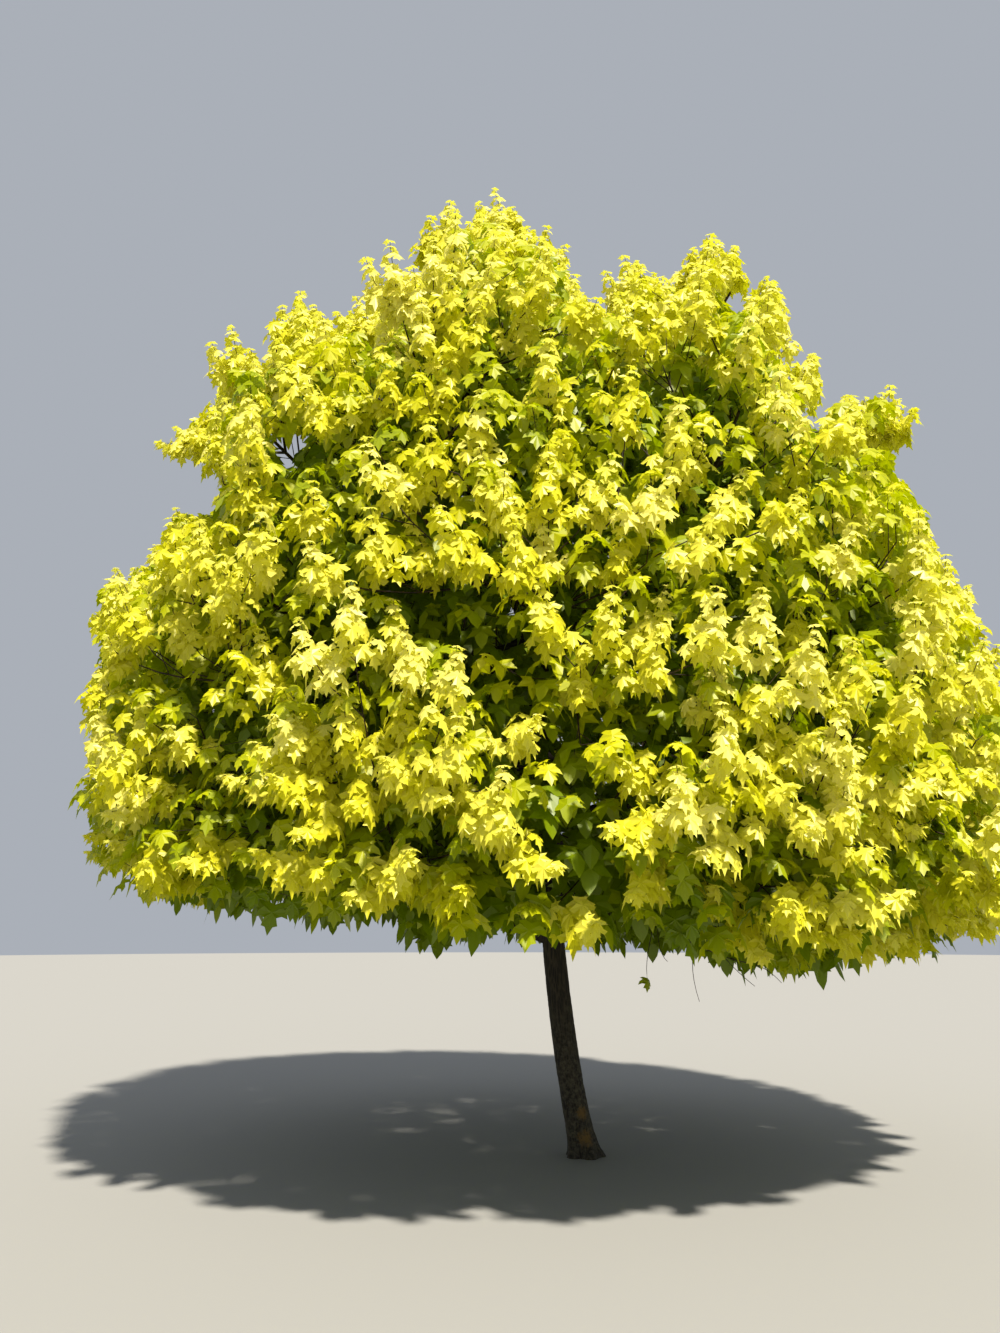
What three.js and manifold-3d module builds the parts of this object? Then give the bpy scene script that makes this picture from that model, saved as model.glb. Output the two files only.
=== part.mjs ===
// A golden-leaved maple tree in late spring: a leaning trunk with a flared foot, boughs in rings round it,
// and at the end of each bough a mass of drooping foliage.
// Millimetres, +Z up. The origin is the middle of the flat cut under the trunk, and the tree's front is -Y.
import * as THREE from "three";
import { mergeVertices } from "three/addons/utils/BufferGeometryUtils.js";
import Module from "manifold-3d";

const wasm = await Module();
wasm.setup();

const UP = new THREE.Vector3(0, 0, 1);
const DEGREE = Math.PI / 180;

// Trunk: it leans to the left at its foot, straightens as it rises, and stands on five root lobes.
const TRUNK = {
  height: 5700,
  boleRadius: 94,
  tipRadius: 20,
  taperPower: 1.5,
  leanReach: 330,
  leanFade: 1500,
  sway: 45,
  swayLength: 1300,
  flare: 44,
  flareHeight: 105,
  rootLobes: 5,
  lobeDepth: 0.4,
  ringCrowding: 1.9,
};

// Crown: a dome on a nearly flat underside. Reaches are measured out from the trunk's line.
const CROWN = {
  reach: 3360,
  widestHeight: 3450,
  topHeight: 7120,
  footHeight: 1290,
  footPower: 4,
  stretchX: 1.05,
  stretchY: 0.98,
};

// Rings of foliage masses from the lowest up. A mass's stem ends `inset` inside the dome at its height,
// and in a ring with boughs each bough runs from its fork in the trunk to the stem's start. Lifts raise
// the crest's tips one by one, for the crown's second peak and its high left side.
const RINGS = [
  {
    name: "skirt", count: 9, turn: 10, height: 2350, inset: 560, waver: 0.05,
    fork: [1500, 1900], start: { reach: 1000, height: 1880 }, boughRadius: 36, stemRadius: 26, size: 900,
  },
  {
    name: "waist", count: 8, turn: 0, height: 3700, inset: 560, waver: 0.05,
    fork: [2050, 2900], start: { reach: 950, height: 2750 }, boughRadius: 33, stemRadius: 25, size: 980,
  },
  {
    name: "shoulder", count: 8, turn: -12, height: 5050, inset: 480, waver: 0.04,
    fork: [3150, 3900], start: { reach: 800, height: 3950 }, boughRadius: 30, stemRadius: 24, size: 900,
  },
  {
    name: "crest", count: 5, turn: -36, height: 6250, inset: 450, waver: 0.02,
    fork: [4500, 4850], stemRadius: 23, size: 850, lifts: [150, 200, 0, 300, -250],
  },
];
const LEADER = { height: 7300, reach: 250, turn: 190, stemRadius: 20, size: 900 };
const STEM_TIP_RADIUS = 16;
const AZIMUTH_WAVER = 0.12;

// A bough leaves the trunk level and swings into its stem's line, half of its bend due to each. A stem
// seated on the trunk leaves it this much flatter than the way to its tip.
const BOUGH_BEND = { outward: 0.45, back: 0.4, mix: 0.5 };
const SEATED_RISE = 0.7;

// A mass's middle, as a share of the way along its stem.
const MIDDLE_SHARE = 0.65;

// Twigs stand in opposite pairs, each pair turned a quarter round the stem from the last, as on any maple.
const PAIRS = [
  { at: 0.2, share: 0.5 },
  { at: 0.48, share: 0.52 },
  { at: 0.76, share: 0.4 },
];
const TWIG = { spread: 60, lift: 0.42, radius: 12, tipRadius: 10, rollWaver: 15, lengthWaver: 0.12 };
const TWIG_SIZES = [1, 0.8, 0.6];

// Leaf blades hang round the end of each shoot like an umbrella, each standing for a spray of leaves.
// A blade's swing turns it from the crown's outward direction, and its droop turns it below the level.
const SIDE_SPRAYS = [
  { at: 0.97, swing: 0, droop: 34, size: 1 },
  { at: 0.8, swing: 74, droop: 48, size: 1 },
  { at: 0.63, swing: -74, droop: 48, size: 1 },
];
const TOP_SPRAYS = [
  { at: 0.98, swing: 0, droop: -62, size: 0.6 },
  { at: 0.93, swing: 0, droop: 25, size: 1 },
  { at: 0.86, swing: 100, droop: 40, size: 1 },
  { at: 0.79, swing: -100, droop: 40, size: 1 },
];
const SPRAY_WAVER = { swing: 15, droop: 9 };
const BLADE = { length: 900, thickness: 24, cup: 0.07, middle: 0.46, halfWidth: 0.5 };
const BLADE_SIZES = [1, 0.85, 0.7];
const BLADE_TURNS = [0, 32, -32];

// Gaps: between a stem and what it stands on, round a limb that foliage passes, and inside a space's faces.
const CLEAR = 0.3;
const LIMB_CLEAR = 3;
const SPACE_MARGIN = 2;

// What each chance is drawn for. Swings and droops count on from theirs, one for each blade of a shoot.
const USE = { azimuth: 1, reach: 2, height: 3, startHeight: 4, roll: 1, length: 2, swing: 10, droop: 20 };

const BARK = new THREE.MeshStandardMaterial({ color: 0x4a4238, roughness: 0.9, metalness: 0 });
const LIMB_BARK = new THREE.MeshStandardMaterial({ color: 0x51463a, roughness: 0.85, metalness: 0 });
const FOLIAGE = new THREE.MeshStandardMaterial({ color: 0xd6d324, roughness: 0.55, metalness: 0 });

// A number from 0 to 1 that depends only on the mass, the branch and what it is for.
function chance(mass, branch, use) {
  const wave = Math.sin(mass * 127.1 + branch * 311.7 + use * 74.7) * 43758.5453;
  return wave - Math.floor(wave);
}

// The same, from -1 to 1.
const waver = (mass, branch, use) => 2 * chance(mass, branch, use) - 1;

const vector = (x, y, z) => new THREE.Vector3(x, y, z);
const mixed = (a, b, share) => a.clone().lerp(b, share);
const plus = (point, direction, length) => point.clone().addScaledVector(direction, length);

// The direction at an azimuth round the trunk and a fall below the level, both in radians.
function heading(azimuth, fall) {
  return vector(Math.cos(azimuth) * Math.cos(fall), Math.sin(azimuth) * Math.cos(fall), -Math.sin(fall));
}

// The geometry with only its positions, its shared vertices merged.
function bare(geometry) {
  const kept = new THREE.BufferGeometry().setAttribute("position", geometry.getAttribute("position"));
  if (geometry.getIndex()) kept.setIndex(geometry.getIndex());
  return mergeVertices(kept);
}

// A straight rod of a number of sides along Z, one unit long and one in radius, in a number of steps.
function rod(sides, steps) {
  const corners = Array.from({ length: sides }, (_, i) => {
    const angle = (i * 2 * Math.PI) / sides;
    return new THREE.Vector2(Math.cos(angle), Math.sin(angle));
  });
  const options = { depth: 1, steps, bevelEnabled: false };
  return { template: bare(new THREE.ExtrudeGeometry(new THREE.Shape(corners), options)), steps };
}

const TRUNK_ROD = rod(14, 16);
const BOUGH_ROD = rod(6, 4);
const STEM_ROD = rod(4, 3);
const TWIG_ROD = rod(3, 1);
const KITE = bare(new THREE.OctahedronGeometry(1, 0));

// A copy of a closed template with each vertex moved by place(x, y, z), as a solid.
function formed(template, place) {
  const from = template.getAttribute("position");
  const points = new Float32Array(from.count * 3);
  for (let i = 0; i < from.count; i++) {
    place(from.getX(i), from.getY(i), from.getZ(i)).toArray(points, i * 3);
  }
  const triangles = new Uint32Array(template.getIndex().array);
  return new wasm.Manifold(new wasm.Mesh({ numProp: 3, vertProperties: points, triVerts: triangles }));
}

function trunkLine(height) {
  const lean = -TRUNK.leanReach * (1 - Math.exp(-height / TRUNK.leanFade));
  return vector(lean, TRUNK.sway * Math.sin(height / TRUNK.swayLength), height);
}

function trunkRadius(height, angle) {
  const share = Math.min(height / TRUNK.height, 1);
  const taper = TRUNK.tipRadius + (TRUNK.boleRadius - TRUNK.tipRadius) * (1 - share ** TRUNK.taperPower);
  const lobes = 1 + TRUNK.lobeDepth * Math.cos(TRUNK.rootLobes * angle);
  return taper + TRUNK.flare * Math.exp(-height / TRUNK.flareHeight) * lobes;
}

// The trunk, or with extra a copy that much thicker, which cuts what is seated on it.
function trunkSolid(extra = 0) {
  return formed(TRUNK_ROD.template, (x, y, z) => {
    const height = TRUNK.height * z ** TRUNK.ringCrowding;
    const angle = Math.atan2(y, x);
    return plus(trunkLine(height), heading(angle, 0), trunkRadius(height, angle) + extra);
  });
}

// A tapering limb: a rod bent along a flat curve.
function limbSolid({ rod, curve, from, to }, extra = 0) {
  const bend = curve.v1.clone().sub(curve.v0).cross(curve.v2.clone().sub(curve.v1));
  const across = bend.length() > 1 ? bend.normalize() : vector(1, 0, 0);
  return formed(rod.template, (x, y, share) => {
    const other = curve.getTangent(share).cross(across).normalize();
    const radius = from + (to - from) * share + extra;
    return plus(plus(curve.getPoint(share), across, x * radius), other, y * radius);
  });
}

// The middle of a limb at a share of its length, on the straight run between two of its rings.
function insideLimb({ rod, curve }, share) {
  const ring = Math.floor(share * rod.steps);
  const ringMiddle = (n) => curve.getPoint(n / rod.steps);
  return mixed(ringMiddle(ring), ringMiddle(ring + 1), share * rod.steps - ring);
}

// The crown's reach at a height.
function domeReach(height) {
  const { reach, widestHeight, topHeight, footHeight, footPower } = CROWN;
  const above = height > widestHeight;
  const power = above ? 2 : footPower;
  const share = (height - widestHeight) / ((above ? topHeight : footHeight) - widestHeight);
  return reach * (1 - share ** power) ** (1 / power);
}

// A point at a reach and height, in a direction round the trunk's line.
function crownPoint(reach, height, azimuth) {
  const out = heading(azimuth, 0).multiply(vector(CROWN.stretchX, CROWN.stretchY, 0));
  return plus(trunkLine(height), out, reach);
}

// The stem of a mass leaves its start along `direction` and turns up towards its tip.
function stemLimb(start, tip, direction, radius) {
  const bend = plus(start, direction, start.distanceTo(tip) / 2);
  const curve = new THREE.QuadraticBezierCurve3(start, bend, tip);
  return { rod: STEM_ROD, curve, from: radius, to: STEM_TIP_RADIUS };
}

// Mass i of a ring: where its bough grows, if it has one, and where its stem does.
function massOf(ring, i, number) {
  const varied = (size, use) => size * (1 + ring.waver * waver(number, 0, use));
  const place = i + AZIMUTH_WAVER * waver(number, 0, USE.azimuth);
  const azimuth = ring.turn * DEGREE + (2 * Math.PI * place) / ring.count;
  const level = ((i * 2 + 1) % ring.count) / (ring.count - 1);
  const root = trunkLine(THREE.MathUtils.lerp(...ring.fork, level));
  const reach = varied(domeReach(ring.height) - ring.inset, USE.reach);
  const tip = crownPoint(reach, varied(ring.height, USE.height) + (ring.lifts?.[i] ?? 0), azimuth);
  const mass = { name: `${ring.name}_foliage_${i + 1}`, number, size: ring.size, seated: !ring.start };
  if (mass.seated) {
    const direction = tip.clone().sub(root).multiply(vector(1, 1, SEATED_RISE)).normalize();
    mass.stem = stemLimb(root, tip, direction, ring.stemRadius);
    return mass;
  }
  const start = crownPoint(ring.start.reach, varied(ring.start.height, USE.startHeight), azimuth);
  const back = start.clone().sub(tip).normalize();
  const levelBend = plus(root, heading(azimuth, 0), ring.start.reach * BOUGH_BEND.outward);
  const stemBend = plus(start, back, start.distanceTo(root) * BOUGH_BEND.back);
  const bend = mixed(levelBend, stemBend, BOUGH_BEND.mix);
  const curve = new THREE.QuadraticBezierCurve3(root, bend, start);
  const direction = curve.getTangent(1);
  mass.boughName = `${ring.name}_bough_${i + 1}`;
  mass.bough = { rod: BOUGH_ROD, curve, from: ring.boughRadius, to: ring.stemRadius };
  mass.stem = stemLimb(plus(start, direction, CLEAR), tip, direction, ring.stemRadius);
  return mass;
}

function leaderMass(number) {
  const tip = crownPoint(LEADER.reach, LEADER.height, LEADER.turn * DEGREE);
  const stem = stemLimb(plus(trunkLine(TRUNK.height), UP, CLEAR), tip, UP, LEADER.stemRadius);
  return { name: "leader_foliage", number, size: LEADER.size, stem };
}

const masses = [];
for (const ring of RINGS) {
  for (let i = 0; i < ring.count; i++) masses.push(massOf(ring, i, masses.length + 1));
}
masses.push(leaderMass(masses.length + 1));
for (const mass of masses) mass.middle = mass.stem.curve.getPoint(MIDDLE_SHARE);

// Each mass keeps to its own space: the points nearer to its middle than to any other, weighed by size.
function inOwnSpace(mass, point) {
  return point.z > CROWN.footHeight && masses.every((other) => {
    if (other === mass) return true;
    const mine = point.distanceToSquared(mass.middle) - mass.size ** 2;
    const theirs = point.distanceToSquared(other.middle) - other.size ** 2;
    return (theirs - mine) / (2 * mass.middle.distanceTo(other.middle)) > SPACE_MARGIN;
  });
}

function cornersOf(solid) {
  const { vertProperties: numbers } = solid.getMesh();
  return Array.from({ length: numbers.length / 3 }, (_, i) => vector().fromArray(numbers, i * 3));
}

// One blade from its root along a direction, its upper side up: a kite, folded down at its sides and tip.
// Its template's corners stand at -1 (the root), 0 and 1 (the tip) on x, and at -1, 0 and 1 across on z.
function bladeSolid(root, along, length) {
  const across = along.clone().cross(UP).normalize();
  const normal = across.clone().cross(along);
  return formed(KITE, (x, y, z) => {
    const share = [0, BLADE.middle, 1][Math.round(x) + 1];
    const fold = share === 1 || Math.round(z) ? BLADE.cup * length : 0;
    const side = plus(plus(root, along, share * length), across, z * BLADE.halfWidth * length);
    return plus(side, normal, (y * BLADE.thickness) / 2 - fold);
  });
}

// Blade k of a shoot, its root sunk in the shoot's twig.
function sprayBlade(mass, shoot, k, size, turn) {
  const spray = shoot.sprays[k];
  const middle = insideLimb(shoot.limb, spray.at);
  const outward = middle.clone().sub(trunkLine(middle.z));
  const swing = spray.swing + turn + SPRAY_WAVER.swing * waver(mass.number, shoot.branch, USE.swing + k);
  const droop = spray.droop + SPRAY_WAVER.droop * waver(mass.number, shoot.branch, USE.droop + k);
  const along = heading(Math.atan2(outward.y, outward.x) + swing * DEGREE, droop * DEGREE);
  return bladeSolid(middle, along, BLADE.length * spray.size * size);
}

// Twig `half` of a pair on a mass's stem: it leaves at the spread angle and bends up.
function twigShoot(mass, pair, half, size) {
  const { at, share } = PAIRS[pair];
  const branch = 1 + pair * 2 + half;
  const start = insideLimb(mass.stem, at);
  const along = mass.stem.curve.getTangent(at);
  const side = along.clone().cross(UP).normalize();
  const lift = side.clone().cross(along);
  const roll = (pair * 90 + half * 180 + TWIG.rollWaver * waver(mass.number, branch, USE.roll)) * DEGREE;
  const away = side.multiplyScalar(Math.cos(roll)).addScaledVector(lift, Math.sin(roll));
  const spread = TWIG.spread * DEGREE;
  const first = along.multiplyScalar(Math.cos(spread)).addScaledVector(away, Math.sin(spread));
  const varied = share * (1 + TWIG.lengthWaver * waver(mass.number, branch, USE.length));
  const length = mass.stem.curve.getLength() * varied * size;
  const last = mixed(first, UP, TWIG.lift).normalize();
  const bend = plus(start, first, length / 2);
  const curve = new THREE.QuadraticBezierCurve3(start, bend, plus(bend, last, length / 2));
  const limb = { rod: TWIG_ROD, curve, from: TWIG.radius, to: TWIG.tipRadius };
  return { limb, branch, sprays: SIDE_SPRAYS, solid: limbSolid(limb) };
}

const trunkCutter = trunkSolid(CLEAR);
const made = [["trunk", trunkSolid(), BARK]];
const limbs = [{ solid: trunkSolid(LIMB_CLEAR) }];
for (const mass of masses) {
  if (mass.bough) {
    made.push([mass.boughName, limbSolid(mass.bough).subtract(trunkCutter), LIMB_BARK]);
    limbs.push({ solid: limbSolid(mass.bough, LIMB_CLEAR) });
  }
  limbs.push({ owner: mass, solid: limbSolid(mass.stem, LIMB_CLEAR) });
}

const clearOf = (solid, others) => others.every((other) => solid.intersect(other.solid).isEmpty());

// Whether a twig or blade stays in its mass's space and touches no limb but its own stem.
function fits(mass, solid) {
  if (!cornersOf(solid).every((corner) => inOwnSpace(mass, corner))) return false;
  return clearOf(solid, limbs.filter((limb) => limb.owner !== mass));
}

// The stem's own shoot, and the largest size that fits of each twig.
function shootsOf(mass) {
  const shoots = [{ limb: mass.stem, branch: 0, sprays: TOP_SPRAYS, solid: limbSolid(mass.stem) }];
  for (let pair = 0; pair < PAIRS.length; pair++) {
    for (const half of [0, 1]) {
      const tries = TWIG_SIZES.map((size) => twigShoot(mass, pair, half, size));
      const twig = tries.find(({ solid }) => fits(mass, solid));
      if (twig) shoots.push(twig);
    }
  }
  return shoots;
}

// A mass: its stem, the blades that fit and cross nothing but their own twig, and the twigs that bear them.
function massSolid(mass) {
  const shoots = shootsOf(mass);
  const blades = [];
  for (const shoot of shoots) {
    for (let k = 0; k < shoot.sprays.length; k++) {
      const others = [...blades, ...shoots.filter((other) => other !== shoot)];
      const shapes = BLADE_SIZES.flatMap((size) => BLADE_TURNS.map((turn) => ({ size, turn })));
      const tries = shapes.map(({ size, turn }) => sprayBlade(mass, shoot, k, size, turn));
      const solid = tries.find((blade) => fits(mass, blade) && clearOf(blade, others));
      if (solid) blades.push({ solid, shoot });
    }
  }
  const twigs = shoots.slice(1).filter((twig) => blades.some(({ shoot }) => shoot === twig));
  const body = [...twigs, ...blades].reduce((sum, { solid }) => sum.add(solid), shoots[0].solid);
  return mass.seated ? body.subtract(trunkCutter) : body;
}

for (const mass of masses) made.push([mass.name, massSolid(mass), FOLIAGE]);

const tree = new THREE.Group();
tree.name = "maple_tree";
for (const [name, solid, material] of made) {
  const { vertProperties, triVerts } = solid.getMesh();
  const geometry = new THREE.BufferGeometry();
  geometry.setAttribute("position", new THREE.BufferAttribute(vertProperties, 3));
  geometry.setIndex(new THREE.BufferAttribute(triVerts, 1));
  geometry.computeVertexNormals();
  const mesh = new THREE.Mesh(geometry, material);
  mesh.name = name;
  tree.add(mesh);
}

export default tree;
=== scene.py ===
# A golden-leaved maple tree in late spring: a leaning trunk with a flared foot, boughs in rings round it,
# and a domed crown of drooping leaves. Metres, +Z up. The origin is under the trunk, and its front is -Y.
from math import atan2, cos, exp, floor, hypot, pi, radians, sin, sqrt

import bmesh
import bpy
import numpy as np
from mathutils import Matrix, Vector, noise


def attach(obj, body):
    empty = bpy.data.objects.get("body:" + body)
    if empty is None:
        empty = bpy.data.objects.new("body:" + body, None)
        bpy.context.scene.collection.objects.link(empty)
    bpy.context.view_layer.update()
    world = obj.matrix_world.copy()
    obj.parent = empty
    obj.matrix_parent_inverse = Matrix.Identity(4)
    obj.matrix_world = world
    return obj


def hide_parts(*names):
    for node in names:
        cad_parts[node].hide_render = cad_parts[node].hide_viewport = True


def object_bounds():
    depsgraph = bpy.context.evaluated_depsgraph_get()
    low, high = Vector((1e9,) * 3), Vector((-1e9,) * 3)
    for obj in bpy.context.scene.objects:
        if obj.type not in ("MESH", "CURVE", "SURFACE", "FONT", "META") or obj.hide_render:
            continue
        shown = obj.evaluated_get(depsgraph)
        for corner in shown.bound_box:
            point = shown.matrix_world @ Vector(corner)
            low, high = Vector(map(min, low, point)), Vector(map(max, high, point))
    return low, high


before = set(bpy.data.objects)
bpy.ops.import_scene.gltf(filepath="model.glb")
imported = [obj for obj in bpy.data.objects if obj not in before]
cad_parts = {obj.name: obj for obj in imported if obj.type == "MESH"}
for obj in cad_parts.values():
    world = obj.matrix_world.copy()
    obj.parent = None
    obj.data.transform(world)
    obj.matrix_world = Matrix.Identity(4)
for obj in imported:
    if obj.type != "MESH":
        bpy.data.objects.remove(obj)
cad_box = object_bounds()

# The trunk is one stem 18 cm thick that leans left from a flared foot of five root lobes, and tapers up
# through the crown to its leader. Its bark is dark grey-brown, split into shallow upright ridges, with
# pale grey crumbs of lichen low down and two rounds of orange lichen on its front.
TRUNK_HEIGHT = 5.7
BOLE_RADIUS = 0.094
TRUNK_TIP_RADIUS = 0.02
TAPER_POWER = 1.5
LEAN_REACH = 0.33
LEAN_FADE = 1.5
SWAY = 0.045
SWAY_LENGTH = 1.3
FLARE = 0.044
FLARE_HEIGHT = 0.105
ROOT_LOBES = 5
LOBE_DEPTH = 0.4
RING_CROWDING = 1.9
TRUNK_SIDES = 128
TRUNK_STEPS = 360
RIDGE_WIDTH = 0.016
RIDGE_LENGTH = 0.11
RIDGE_DEPTH = 0.0035
RIDGE_BEND = 1.1
RIDGE_BEND_SCALE = 0.35
RIDGE_SHARPNESS = 3.2
NOISE_SEED = 1795672834
UP = Vector((0, 0, 1))

noise.seed_set(NOISE_SEED)  # the noise would otherwise take a new seed from the clock in each run


def rod(sides, steps):
    """A straight open rod along Z, one metre long and one in radius, in a number of even steps."""
    bm = bmesh.new()
    bmesh.ops.create_circle(bm, segments=sides, radius=1, cap_ends=False)
    extruded = bmesh.ops.extrude_edge_only(bm, edges=bm.edges[:])["geom"]
    raised = [item for item in extruded if isinstance(item, bmesh.types.BMVert)]
    bmesh.ops.translate(bm, verts=raised, vec=UP)
    upright = [edge for edge in bm.edges if abs(edge.verts[0].co.z - edge.verts[1].co.z) > 0.5]
    if steps > 1:
        bmesh.ops.subdivide_edges(bm, edges=upright, cuts=steps - 1, use_grid_fill=True)
    bmesh.ops.recalc_face_normals(bm, faces=bm.faces)
    return bm


def trunk_line(height):
    """The point on the trunk's middle line at a height."""
    lean = -LEAN_REACH * (1 - exp(-height / LEAN_FADE))
    return Vector((lean, SWAY * sin(height / SWAY_LENGTH), height))


def trunk_radius(height, angle):
    """The trunk's radius at a height and an angle round it, root lobes included."""
    share = min(height / TRUNK_HEIGHT, 1)
    taper = TRUNK_TIP_RADIUS + (BOLE_RADIUS - TRUNK_TIP_RADIUS) * (1 - share ** TAPER_POWER)
    lobes = 1 + LOBE_DEPTH * cos(ROOT_LOBES * angle)
    return taper + FLARE * exp(-height / FLARE_HEIGHT) * lobes


def ridges(around, along, width, length):
    """How far a bark ridge stands out at a point of a limb's surface, from 0 in a furrow to 1."""
    spot = Vector((around.x / width, around.y / width, along / length))
    bent = spot + noise.noise_vector(spot * RIDGE_BEND_SCALE) * RIDGE_BEND
    return 1 - min(1, abs(noise.noise(bent)) * RIDGE_SHARPNESS)


def barked(name, sides, steps, place, material, nodes):
    """A limb as a piece: a rod whose points place() puts on the bark, with each one's ridge kept."""
    bm = rod(sides, steps)
    ridge = bm.verts.layers.float.new("ridge")
    for vert in bm.verts:
        vert.co, vert[ridge] = place(atan2(vert.co.y, vert.co.x), vert.co.z)
    bmesh.ops.holes_fill(bm, edges=[edge for edge in bm.edges if edge.is_boundary])
    bmesh.ops.recalc_face_normals(bm, faces=bm.faces)
    return piece_of(bm, name, [material], nodes)


def piece_of(bm, name, materials, nodes):
    """A finished piece from a bmesh, riding with the tree and standing for CAD nodes."""
    mesh = bpy.data.meshes.new(name)
    bm.to_mesh(mesh)
    bm.free()
    mesh.shade_smooth()
    return finished(mesh, name, materials, nodes)


def finished(mesh, name, materials, nodes):
    """A mesh as a piece of the tree, with its materials and its nodes."""
    piece = bpy.data.objects.new(name, mesh)
    bpy.context.scene.collection.objects.link(piece)
    for material in materials:
        mesh.materials.append(material)
    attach(piece, "root")
    if nodes:
        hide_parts(*nodes)
    return piece


SCREEN_GAMMA = 2.2


def rgb(red, green, blue):
    """A colour as it looks on screen, out of 255, as the shader's linear light."""
    return [(value / 255) ** SCREEN_GAMMA for value in (red, green, blue)] + [1]


def node(tree, kind, **sockets):
    """A shader node with its sockets set, or linked where a socket is given."""
    made = tree.nodes.new(kind)
    for key, value in sockets.items():
        target = made.inputs[key.replace("_", " ")]
        if isinstance(value, bpy.types.NodeSocket):
            tree.links.new(value, target)
        else:
            target.default_value = value
    return made


def ramp(tree, value, stops):
    """A colour ramp over a value, between two (place, colour) stops."""
    made = node(tree, "ShaderNodeValToRGB", Fac=value)
    for element, (place, colour) in zip(made.color_ramp.elements, stops):
        element.position = place
        element.color = colour
    return made.outputs["Color"]


def mixed(tree, share, under, over):
    """A colour over another, by a share from 0 to 1."""
    made = tree.nodes.new("ShaderNodeMix")
    made.data_type = "RGBA"
    share_in, under_in, over_in = (made.inputs[index] for index in (0, 6, 7))
    tree.links.new(share, share_in)
    tree.links.new(under, under_in)
    over_in.default_value = over
    return made.outputs[2]


def blank_material(name):
    """A new material with nothing in its tree but an output."""
    material = bpy.data.materials.new(name)
    material.use_nodes = True
    tree = material.node_tree
    tree.nodes.clear()
    output = tree.nodes.new("ShaderNodeOutputMaterial")
    return material, tree, output


def by_height(tree, place, low, high):
    """A share that is 1 up to a low height and fades to 0 at a high one."""
    split = node(tree, "ShaderNodeSeparateXYZ", Vector=place)
    fade = node(tree, "ShaderNodeMapRange", Value=split.outputs["Z"])
    for name, value in (("From Min", low), ("From Max", high), ("To Min", 1), ("To Max", 0)):
        fade.inputs[name].default_value = value
    return fade.outputs["Result"]


def times(tree, first, second):
    """One value times another."""
    made = tree.nodes.new("ShaderNodeMath")
    made.operation = "MULTIPLY"
    tree.links.new(first, made.inputs[0])
    tree.links.new(second, made.inputs[1])
    return made.outputs["Value"]


CRUMB_NOISE = dict(Scale=34, Detail=7, Roughness=0.7)
CRUMB_EDGE = (0.44, 0.66)
CRUMB_HEIGHTS = (0.5, 1.2)
FURROW_EDGE = (0.1, 0.95)
GRAIN_NOISE = dict(Scale=180, Detail=4, Roughness=0.6)
GRAIN_BUMP = dict(Strength=0.4, Distance=0.002)
BARK_ROUGHNESS = 0.9
BLACK = (0, 0, 0, 1)
WHITE = (1, 1, 1, 1)


def bark_material(name, furrow, ridge, pale, crust=None):
    """Bark: dark furrows, lighter ridges, pale crumbs of lichen low down, and a crust where it is given."""
    material, tree, output = blank_material(name)
    place = tree.nodes.new("ShaderNodeTexCoord").outputs["Object"]
    height = tree.nodes.new("ShaderNodeAttribute")
    height.attribute_name = "ridge"
    colour = ramp(tree, height.outputs["Fac"], zip(FURROW_EDGE, (furrow, ridge)))
    crumbs = node(tree, "ShaderNodeTexNoise", Vector=place, **CRUMB_NOISE)
    share = ramp(tree, crumbs.outputs["Fac"], zip(CRUMB_EDGE, (BLACK, WHITE)))
    colour = mixed(tree, times(tree, share, by_height(tree, place, *CRUMB_HEIGHTS)), colour, pale)
    if crust:
        colour = crust(tree, place, colour)
    grain = node(tree, "ShaderNodeTexNoise", Vector=place, **GRAIN_NOISE)
    bump = node(tree, "ShaderNodeBump", Height=grain.outputs["Fac"], **GRAIN_BUMP)
    shader = node(
        tree, "ShaderNodeBsdfPrincipled", Base_Color=colour, Roughness=BARK_ROUGHNESS,
        Normal=bump.outputs["Normal"],
    )
    tree.links.new(shader.outputs["BSDF"], output.inputs["Surface"])
    return material


LICHEN_SPOTS = [(-0.017, -0.087, 0.3, 0.045), (0.002, -0.102, 0.135, 0.06)]
LICHEN_NOISE = dict(Scale=60, Detail=5)
LICHEN_RAGGEDNESS = 2.2
LICHEN_EDGE = (1.5, 2.3)
LICHEN_COVER = (0.8, 0.8, 0.8, 1)
LICHEN_COLOUR = rgb(118, 92, 44)


def orange_lichen(tree, place, colour):
    """Orange lichen on the bark within each spot, a place and a reach, broken up at its edge."""
    crumbs = node(tree, "ShaderNodeTexNoise", Vector=place, **LICHEN_NOISE)
    for x, y, z, reach in LICHEN_SPOTS:
        away = tree.nodes.new("ShaderNodeVectorMath")
        away.operation = "DISTANCE"
        tree.links.new(place, away.inputs[0])
        away.inputs[1].default_value = (x, y, z)
        spread = tree.nodes.new("ShaderNodeMath")
        spread.operation = "MULTIPLY_ADD"
        tree.links.new(crumbs.outputs["Fac"], spread.inputs[0])
        spread.inputs[1].default_value = LICHEN_RAGGEDNESS * reach
        tree.links.new(away.outputs["Value"], spread.inputs[2])
        full, none = LICHEN_EDGE
        share = ramp(tree, spread.outputs["Value"], [(full * reach, LICHEN_COVER), (none * reach, BLACK)])
        colour = mixed(tree, share, colour, LICHEN_COLOUR)
    return colour


trunk_bark = bark_material(
    "trunk_bark", furrow=rgb(32, 28, 19), ridge=rgb(62, 56, 41), pale=rgb(86, 82, 66), crust=orange_lichen
)


def trunk_surface(angle, share):
    """The trunk's bark at an angle and a share of its height, with how far its ridge stands."""
    height = TRUNK_HEIGHT * share ** RING_CROWDING
    radius = trunk_radius(height, angle)
    out = Vector((cos(angle), sin(angle), 0))
    ridge = ridges(out * radius, height, RIDGE_WIDTH, RIDGE_LENGTH)
    depth = RIDGE_DEPTH * radius / BOLE_RADIUS
    return trunk_line(height) + out * (radius - depth * (1 - ridge)), ridge


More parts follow.
